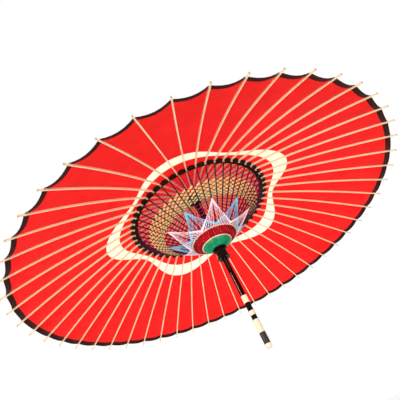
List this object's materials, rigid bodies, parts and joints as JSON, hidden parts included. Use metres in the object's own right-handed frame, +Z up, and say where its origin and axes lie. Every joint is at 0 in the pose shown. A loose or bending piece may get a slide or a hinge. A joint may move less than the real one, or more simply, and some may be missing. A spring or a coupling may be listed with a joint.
{
  "type": "oil paper umbrella",
  "caption": "Open oil-paper umbrella: folding bamboo ribs and laced stretchers under a scalloped paper canopy, lacquered pole with runner and rattan-wound handle.",
  "frame": {"origin": "centre of the pole's flat foot", "axes": "+Z up the pole towards the head; +X along the first rib"},
  "size_m": [1.126, 1.1238, 0.552],
  "materials": {
    "bamboo": "satin",
    "lacquer": "gloss",
    "dark_bamboo": "gloss",
    "oiled_paper": "satin",
    "black_hood": "matte",
    "rattan": "satin",
    "thread": "matte",
    "catch": "satin"
  },
  "bodies": {
    "pole": {"shaft": "lacquer", "upper_hub": "lacquer", "head_cap": "black_hood", "handle_wraps": "rattan", "canopy": "oiled_paper", "thread_lacing": "thread", "ribs_between": "bamboo", "stretchers_between": "dark_bamboo"},
    "slider": {"runner": "lacquer"},
    "catch": {"spring_catch": "catch"},
    "rib_01": {"rib_01": "bamboo"},
    "rib_02": {"rib_02": "bamboo"},
    "rib_03": {"rib_03": "bamboo"},
    "rib_04": {"rib_04": "bamboo"},
    "rib_05": {"rib_05": "bamboo"},
    "rib_06": {"rib_06": "bamboo"},
    "rib_07": {"rib_07": "bamboo"},
    "rib_08": {"rib_08": "bamboo"},
    "rib_09": {"rib_09": "bamboo"},
    "rib_10": {"rib_10": "bamboo"},
    "rib_11": {"rib_11": "bamboo"},
    "rib_12": {"rib_12": "bamboo"},
    "rib_13": {"rib_13": "bamboo"},
    "rib_14": {"rib_14": "bamboo"},
    "rib_15": {"rib_15": "bamboo"},
    "rib_16": {"rib_16": "bamboo"},
    "rib_17": {"rib_17": "bamboo"},
    "rib_18": {"rib_18": "bamboo"},
    "rib_19": {"rib_19": "bamboo"},
    "rib_20": {"rib_20": "bamboo"},
    "rib_21": {"rib_21": "bamboo"},
    "rib_22": {"rib_22": "bamboo"},
    "rib_23": {"rib_23": "bamboo"},
    "rib_24": {"rib_24": "bamboo"},
    "rib_25": {"rib_25": "bamboo"},
    "stretcher_01": {"stretcher_01": "dark_bamboo"},
    "stretcher_02": {"stretcher_02": "dark_bamboo"},
    "stretcher_03": {"stretcher_03": "dark_bamboo"},
    "stretcher_04": {"stretcher_04": "dark_bamboo"},
    "stretcher_05": {"stretcher_05": "dark_bamboo"},
    "stretcher_06": {"stretcher_06": "dark_bamboo"},
    "stretcher_07": {"stretcher_07": "dark_bamboo"},
    "stretcher_08": {"stretcher_08": "dark_bamboo"},
    "stretcher_09": {"stretcher_09": "dark_bamboo"},
    "stretcher_10": {"stretcher_10": "dark_bamboo"},
    "stretcher_11": {"stretcher_11": "dark_bamboo"},
    "stretcher_12": {"stretcher_12": "dark_bamboo"},
    "stretcher_13": {"stretcher_13": "dark_bamboo"},
    "stretcher_14": {"stretcher_14": "dark_bamboo"},
    "stretcher_15": {"stretcher_15": "dark_bamboo"},
    "stretcher_16": {"stretcher_16": "dark_bamboo"},
    "stretcher_17": {"stretcher_17": "dark_bamboo"},
    "stretcher_18": {"stretcher_18": "dark_bamboo"},
    "stretcher_19": {"stretcher_19": "dark_bamboo"},
    "stretcher_20": {"stretcher_20": "dark_bamboo"},
    "stretcher_21": {"stretcher_21": "dark_bamboo"},
    "stretcher_22": {"stretcher_22": "dark_bamboo"},
    "stretcher_23": {"stretcher_23": "dark_bamboo"},
    "stretcher_24": {"stretcher_24": "dark_bamboo"},
    "stretcher_25": {"stretcher_25": "dark_bamboo"}
  },
  "joints": [
    {"name": "runner_slide", "type": "slide", "parent": "pole", "child": "slider", "axis": [0, 0, -1], "range_m": [0, 0.2432], "deforming": ["canopy", "thread_lacing", "ribs_between", "stretchers_between", "spring_catch"]},
    {"name": "catch_press", "type": "hinge", "parent": "pole", "child": "catch", "pos_m": [-0.00317, -0.00149, 0.227], "axis": [-0.4258, 0.9048, 0], "range_deg": [0, 7.5]},
    {"name": "rib_fold_01", "type": "hinge", "parent": "pole", "child": "rib_01", "pos_m": [0.019, 0, 0.5], "axis": [0, 1, 0], "range_deg": [0, 66.72]},
    {"name": "stretcher_fold_01", "type": "hinge", "parent": "rib_01", "child": "stretcher_01", "pos_m": [0.215, 0, 0.436], "axis": [0, 1, 0], "range_deg": [-117.47, 0]},
    {"name": "rib_fold_02", "type": "hinge", "parent": "pole", "child": "rib_02", "pos_m": [0.0184, 0.00473, 0.5], "axis": [-0.2487, 0.9686, 0], "range_deg": [0, 66.72]},
    {"name": "stretcher_fold_02", "type": "hinge", "parent": "rib_02", "child": "stretcher_02", "pos_m": [0.20825, 0.05347, 0.436], "axis": [-0.2487, 0.9686, 0], "range_deg": [-117.47, 0]},
    {"name": "rib_fold_03", "type": "hinge", "parent": "pole", "child": "rib_03", "pos_m": [0.01665, 0.00915, 0.5], "axis": [-0.4818, 0.8763, 0], "range_deg": [0, 66.72]},
    {"name": "stretcher_fold_03", "type": "hinge", "parent": "rib_03", "child": "stretcher_03", "pos_m": [0.18841, 0.10358, 0.436], "axis": [-0.4818, 0.8763, 0], "range_deg": [-117.47, 0]},
    {"name": "rib_fold_04", "type": "hinge", "parent": "pole", "child": "rib_04", "pos_m": [0.01385, 0.01301, 0.5], "axis": [-0.6845, 0.729, 0], "range_deg": [0, 66.72]},
    {"name": "stretcher_fold_04", "type": "hinge", "parent": "rib_04", "child": "stretcher_04", "pos_m": [0.15673, 0.14718, 0.436], "axis": [-0.6845, 0.729, 0], "range_deg": [-117.47, 0]},
    {"name": "rib_fold_05", "type": "hinge", "parent": "pole", "child": "rib_05", "pos_m": [0.01018, 0.01604, 0.5], "axis": [-0.8443, 0.5358, 0], "range_deg": [0, 66.72]},
    {"name": "stretcher_fold_05", "type": "hinge", "parent": "rib_05", "child": "stretcher_05", "pos_m": [0.1152, 0.18153, 0.436], "axis": [-0.8443, 0.5358, 0], "range_deg": [-117.47, 0]},
    {"name": "rib_fold_06", "type": "hinge", "parent": "pole", "child": "rib_06", "pos_m": [0.00587, 0.01807, 0.5], "axis": [-0.9511, 0.309, 0], "range_deg": [0, 66.72]},
    {"name": "stretcher_fold_06", "type": "hinge", "parent": "rib_06", "child": "stretcher_06", "pos_m": [0.06644, 0.20448, 0.436], "axis": [-0.9511, 0.309, 0], "range_deg": [-117.47, 0]},
    {"name": "rib_fold_07", "type": "hinge", "parent": "pole", "child": "rib_07", "pos_m": [0.00119, 0.01896, 0.5], "axis": [-0.998, 0.0628, 0], "range_deg": [0, 66.72]},
    {"name": "stretcher_fold_07", "type": "hinge", "parent": "rib_07", "child": "stretcher_07", "pos_m": [0.0135, 0.21458, 0.436], "axis": [-0.998, 0.0628, 0], "range_deg": [-117.47, 0]},
    {"name": "rib_fold_08", "type": "hinge", "parent": "pole", "child": "rib_08", "pos_m": [-0.00356, 0.01866, 0.5], "axis": [-0.9823, -0.1874, 0], "range_deg": [0, 66.72]},
    {"name": "stretcher_fold_08", "type": "hinge", "parent": "rib_08", "child": "stretcher_08", "pos_m": [-0.04029, 0.21119, 0.436], "axis": [-0.9823, -0.1874, 0], "range_deg": [-117.47, 0]},
    {"name": "rib_fold_09", "type": "hinge", "parent": "pole", "child": "rib_09", "pos_m": [-0.00809, 0.01719, 0.5], "axis": [-0.9048, -0.4258, 0], "range_deg": [0, 66.72]},
    {"name": "stretcher_fold_09", "type": "hinge", "parent": "rib_09", "child": "stretcher_09", "pos_m": [-0.09154, 0.19454, 0.436], "axis": [-0.9048, -0.4258, 0], "range_deg": [-117.47, 0]},
    {"name": "rib_fold_10", "type": "hinge", "parent": "pole", "child": "rib_10", "pos_m": [-0.01211, 0.01464, 0.5], "axis": [-0.7705, -0.6374, 0], "range_deg": [0, 66.72]},
    {"name": "stretcher_fold_10", "type": "hinge", "parent": "rib_10", "child": "stretcher_10", "pos_m": [-0.13705, 0.16566, 0.436], "axis": [-0.7705, -0.6374, 0], "range_deg": [-117.47, 0]},
    {"name": "rib_fold_11", "type": "hinge", "parent": "pole", "child": "rib_11", "pos_m": [-0.01537, 0.01117, 0.5], "axis": [-0.5878, -0.809, 0], "range_deg": [0, 66.72]},
    {"name": "stretcher_fold_11", "type": "hinge", "parent": "rib_11", "child": "stretcher_11", "pos_m": [-0.17394, 0.12637, 0.436], "axis": [-0.5878, -0.809, 0], "range_deg": [-117.47, 0]},
    {"name": "rib_fold_12", "type": "hinge", "parent": "pole", "child": "rib_12", "pos_m": [-0.01767, 0.00699, 0.5], "axis": [-0.3681, -0.9298, 0], "range_deg": [0, 66.72]},
    {"name": "stretcher_fold_12", "type": "hinge", "parent": "rib_12", "child": "stretcher_12", "pos_m": [-0.1999, 0.07915, 0.436], "axis": [-0.3681, -0.9298, 0], "range_deg": [-117.47, 0]},
    {"name": "rib_fold_13", "type": "hinge", "parent": "pole", "child": "rib_13", "pos_m": [-0.01885, 0.00238, 0.5], "axis": [-0.1253, -0.9921, 0], "range_deg": [0, 66.72]},
    {"name": "stretcher_fold_13", "type": "hinge", "parent": "rib_13", "child": "stretcher_13", "pos_m": [-0.2133, 0.02695, 0.436], "axis": [-0.1253, -0.9921, 0], "range_deg": [-117.47, 0]},
    {"name": "rib_fold_14", "type": "hinge", "parent": "pole", "child": "rib_14", "pos_m": [-0.01885, -0.00238, 0.5], "axis": [0.1253, -0.9921, 0], "range_deg": [0, 66.72]},
    {"name": "stretcher_fold_14", "type": "hinge", "parent": "rib_14", "child": "stretcher_14", "pos_m": [-0.2133, -0.02695, 0.436], "axis": [0.1253, -0.9921, 0], "range_deg": [-117.47, 0]},
    {"name": "rib_fold_15", "type": "hinge", "parent": "pole", "child": "rib_15", "pos_m": [-0.01767, -0.00699, 0.5], "axis": [0.3681, -0.9298, 0], "range_deg": [0, 66.72]},
    {"name": "stretcher_fold_15", "type": "hinge", "parent": "rib_15", "child": "stretcher_15", "pos_m": [-0.1999, -0.07915, 0.436], "axis": [0.3681, -0.9298, 0], "range_deg": [-117.47, 0]},
    {"name": "rib_fold_16", "type": "hinge", "parent": "pole", "child": "rib_16", "pos_m": [-0.01537, -0.01117, 0.5], "axis": [0.5878, -0.809, 0], "range_deg": [0, 66.72]},
    {"name": "stretcher_fold_16", "type": "hinge", "parent": "rib_16", "child": "stretcher_16", "pos_m": [-0.17394, -0.12637, 0.436], "axis": [0.5878, -0.809, 0], "range_deg": [-117.47, 0]},
    {"name": "rib_fold_17", "type": "hinge", "parent": "pole", "child": "rib_17", "pos_m": [-0.01211, -0.01464, 0.5], "axis": [0.7705, -0.6374, 0], "range_deg": [0, 66.72]},
    {"name": "stretcher_fold_17", "type": "hinge", "parent": "rib_17", "child": "stretcher_17", "pos_m": [-0.13705, -0.16566, 0.436], "axis": [0.7705, -0.6374, 0], "range_deg": [-117.47, 0]},
    {"name": "rib_fold_18", "type": "hinge", "parent": "pole", "child": "rib_18", "pos_m": [-0.00809, -0.01719, 0.5], "axis": [0.9048, -0.4258, 0], "range_deg": [0, 66.72]},
    {"name": "stretcher_fold_18", "type": "hinge", "parent": "rib_18", "child": "stretcher_18", "pos_m": [-0.09154, -0.19454, 0.436], "axis": [0.9048, -0.4258, 0], "range_deg": [-117.47, 0]},
    {"name": "rib_fold_19", "type": "hinge", "parent": "pole", "child": "rib_19", "pos_m": [-0.00356, -0.01866, 0.5], "axis": [0.9823, -0.1874, 0], "range_deg": [0, 66.72]},
    {"name": "stretcher_fold_19", "type": "hinge", "parent": "rib_19", "child": "stretcher_19", "pos_m": [-0.04029, -0.21119, 0.436], "axis": [0.9823, -0.1874, 0], "range_deg": [-117.47, 0]},
    {"name": "rib_fold_20", "type": "hinge", "parent": "pole", "child": "rib_20", "pos_m": [0.00119, -0.01896, 0.5], "axis": [0.998, 0.0628, 0], "range_deg": [0, 66.72]},
    {"name": "stretcher_fold_20", "type": "hinge", "parent": "rib_20", "child": "stretcher_20", "pos_m": [0.0135, -0.21458, 0.436], "axis": [0.998, 0.0628, 0], "range_deg": [-117.47, 0]},
    {"name": "rib_fold_21", "type": "hinge", "parent": "pole", "child": "rib_21", "pos_m": [0.00587, -0.01807, 0.5], "axis": [0.9511, 0.309, 0], "range_deg": [0, 66.72]},
    {"name": "stretcher_fold_21", "type": "hinge", "parent": "rib_21", "child": "stretcher_21", "pos_m": [0.06644, -0.20448, 0.436], "axis": [0.9511, 0.309, 0], "range_deg": [-117.47, 0]},
    {"name": "rib_fold_22", "type": "hinge", "parent": "pole", "child": "rib_22", "pos_m": [0.01018, -0.01604, 0.5], "axis": [0.8443, 0.5358, 0], "range_deg": [0, 66.72]},
    {"name": "stretcher_fold_22", "type": "hinge", "parent": "rib_22", "child": "stretcher_22", "pos_m": [0.1152, -0.18153, 0.436], "axis": [0.8443, 0.5358, 0], "range_deg": [-117.47, 0]},
    {"name": "rib_fold_23", "type": "hinge", "parent": "pole", "child": "rib_23", "pos_m": [0.01385, -0.01301, 0.5], "axis": [0.6845, 0.729, 0], "range_deg": [0, 66.72]},
    {"name": "stretcher_fold_23", "type": "hinge", "parent": "rib_23", "child": "stretcher_23", "pos_m": [0.15673, -0.14718, 0.436], "axis": [0.6845, 0.729, 0], "range_deg": [-117.47, 0]},
    {"name": "rib_fold_24", "type": "hinge", "parent": "pole", "child": "rib_24", "pos_m": [0.01665, -0.00915, 0.5], "axis": [0.4818, 0.8763, 0], "range_deg": [0, 66.72]},
    {"name": "stretcher_fold_24", "type": "hinge", "parent": "rib_24", "child": "stretcher_24", "pos_m": [0.18841, -0.10358, 0.436], "axis": [0.4818, 0.8763, 0], "range_deg": [-117.47, 0]},
    {"name": "rib_fold_25", "type": "hinge", "parent": "pole", "child": "rib_25", "pos_m": [0.0184, -0.00473, 0.5], "axis": [0.2487, 0.9686, 0], "range_deg": [0, 66.72]},
    {"name": "stretcher_fold_25", "type": "hinge", "parent": "rib_25", "child": "stretcher_25", "pos_m": [0.20825, -0.05347, 0.436], "axis": [0.2487, 0.9686, 0], "range_deg": [-117.47, 0]}
  ],
  "couplings": [
    {"joint": "rib_fold_01", "follows": "runner_slide", "rad_per_m": 4.7878},
    {"joint": "stretcher_fold_01", "follows": "runner_slide", "rad_per_m": -8.43},
    {"joint": "rib_fold_02", "follows": "runner_slide", "rad_per_m": 4.7878},
    {"joint": "stretcher_fold_02", "follows": "runner_slide", "rad_per_m": -8.43},
    {"joint": "rib_fold_03", "follows": "runner_slide", "rad_per_m": 4.7878},
    {"joint": "stretcher_fold_03", "follows": "runner_slide", "rad_per_m": -8.43},
    {"joint": "rib_fold_04", "follows": "runner_slide", "rad_per_m": 4.7878},
    {"joint": "stretcher_fold_04", "follows": "runner_slide", "rad_per_m": -8.43},
    {"joint": "rib_fold_05", "follows": "runner_slide", "rad_per_m": 4.7878},
    {"joint": "stretcher_fold_05", "follows": "runner_slide", "rad_per_m": -8.43},
    {"joint": "rib_fold_06", "follows": "runner_slide", "rad_per_m": 4.7878},
    {"joint": "stretcher_fold_06", "follows": "runner_slide", "rad_per_m": -8.43},
    {"joint": "rib_fold_07", "follows": "runner_slide", "rad_per_m": 4.7878},
    {"joint": "stretcher_fold_07", "follows": "runner_slide", "rad_per_m": -8.43},
    {"joint": "rib_fold_08", "follows": "runner_slide", "rad_per_m": 4.7878},
    {"joint": "stretcher_fold_08", "follows": "runner_slide", "rad_per_m": -8.43},
    {"joint": "rib_fold_09", "follows": "runner_slide", "rad_per_m": 4.7878},
    {"joint": "stretcher_fold_09", "follows": "runner_slide", "rad_per_m": -8.43},
    {"joint": "rib_fold_10", "follows": "runner_slide", "rad_per_m": 4.7878},
    {"joint": "stretcher_fold_10", "follows": "runner_slide", "rad_per_m": -8.43},
    {"joint": "rib_fold_11", "follows": "runner_slide", "rad_per_m": 4.7878},
    {"joint": "stretcher_fold_11", "follows": "runner_slide", "rad_per_m": -8.43},
    {"joint": "rib_fold_12", "follows": "runner_slide", "rad_per_m": 4.7878},
    {"joint": "stretcher_fold_12", "follows": "runner_slide", "rad_per_m": -8.43},
    {"joint": "rib_fold_13", "follows": "runner_slide", "rad_per_m": 4.7878},
    {"joint": "stretcher_fold_13", "follows": "runner_slide", "rad_per_m": -8.43},
    {"joint": "rib_fold_14", "follows": "runner_slide", "rad_per_m": 4.7878},
    {"joint": "stretcher_fold_14", "follows": "runner_slide", "rad_per_m": -8.43},
    {"joint": "rib_fold_15", "follows": "runner_slide", "rad_per_m": 4.7878},
    {"joint": "stretcher_fold_15", "follows": "runner_slide", "rad_per_m": -8.43},
    {"joint": "rib_fold_16", "follows": "runner_slide", "rad_per_m": 4.7878},
    {"joint": "stretcher_fold_16", "follows": "runner_slide", "rad_per_m": -8.43},
    {"joint": "rib_fold_17", "follows": "runner_slide", "rad_per_m": 4.7878},
    {"joint": "stretcher_fold_17", "follows": "runner_slide", "rad_per_m": -8.43},
    {"joint": "rib_fold_18", "follows": "runner_slide", "rad_per_m": 4.7878},
    {"joint": "stretcher_fold_18", "follows": "runner_slide", "rad_per_m": -8.43},
    {"joint": "rib_fold_19", "follows": "runner_slide", "rad_per_m": 4.7878},
    {"joint": "stretcher_fold_19", "follows": "runner_slide", "rad_per_m": -8.43},
    {"joint": "rib_fold_20", "follows": "runner_slide", "rad_per_m": 4.7878},
    {"joint": "stretcher_fold_20", "follows": "runner_slide", "rad_per_m": -8.43},
    {"joint": "rib_fold_21", "follows": "runner_slide", "rad_per_m": 4.7878},
    {"joint": "stretcher_fold_21", "follows": "runner_slide", "rad_per_m": -8.43},
    {"joint": "rib_fold_22", "follows": "runner_slide", "rad_per_m": 4.7878},
    {"joint": "stretcher_fold_22", "follows": "runner_slide", "rad_per_m": -8.43},
    {"joint": "rib_fold_23", "follows": "runner_slide", "rad_per_m": 4.7878},
    {"joint": "stretcher_fold_23", "follows": "runner_slide", "rad_per_m": -8.43},
    {"joint": "rib_fold_24", "follows": "runner_slide", "rad_per_m": 4.7878},
    {"joint": "stretcher_fold_24", "follows": "runner_slide", "rad_per_m": -8.43},
    {"joint": "rib_fold_25", "follows": "runner_slide", "rad_per_m": 4.7878},
    {"joint": "stretcher_fold_25", "follows": "runner_slide", "rad_per_m": -8.43}
  ]
}
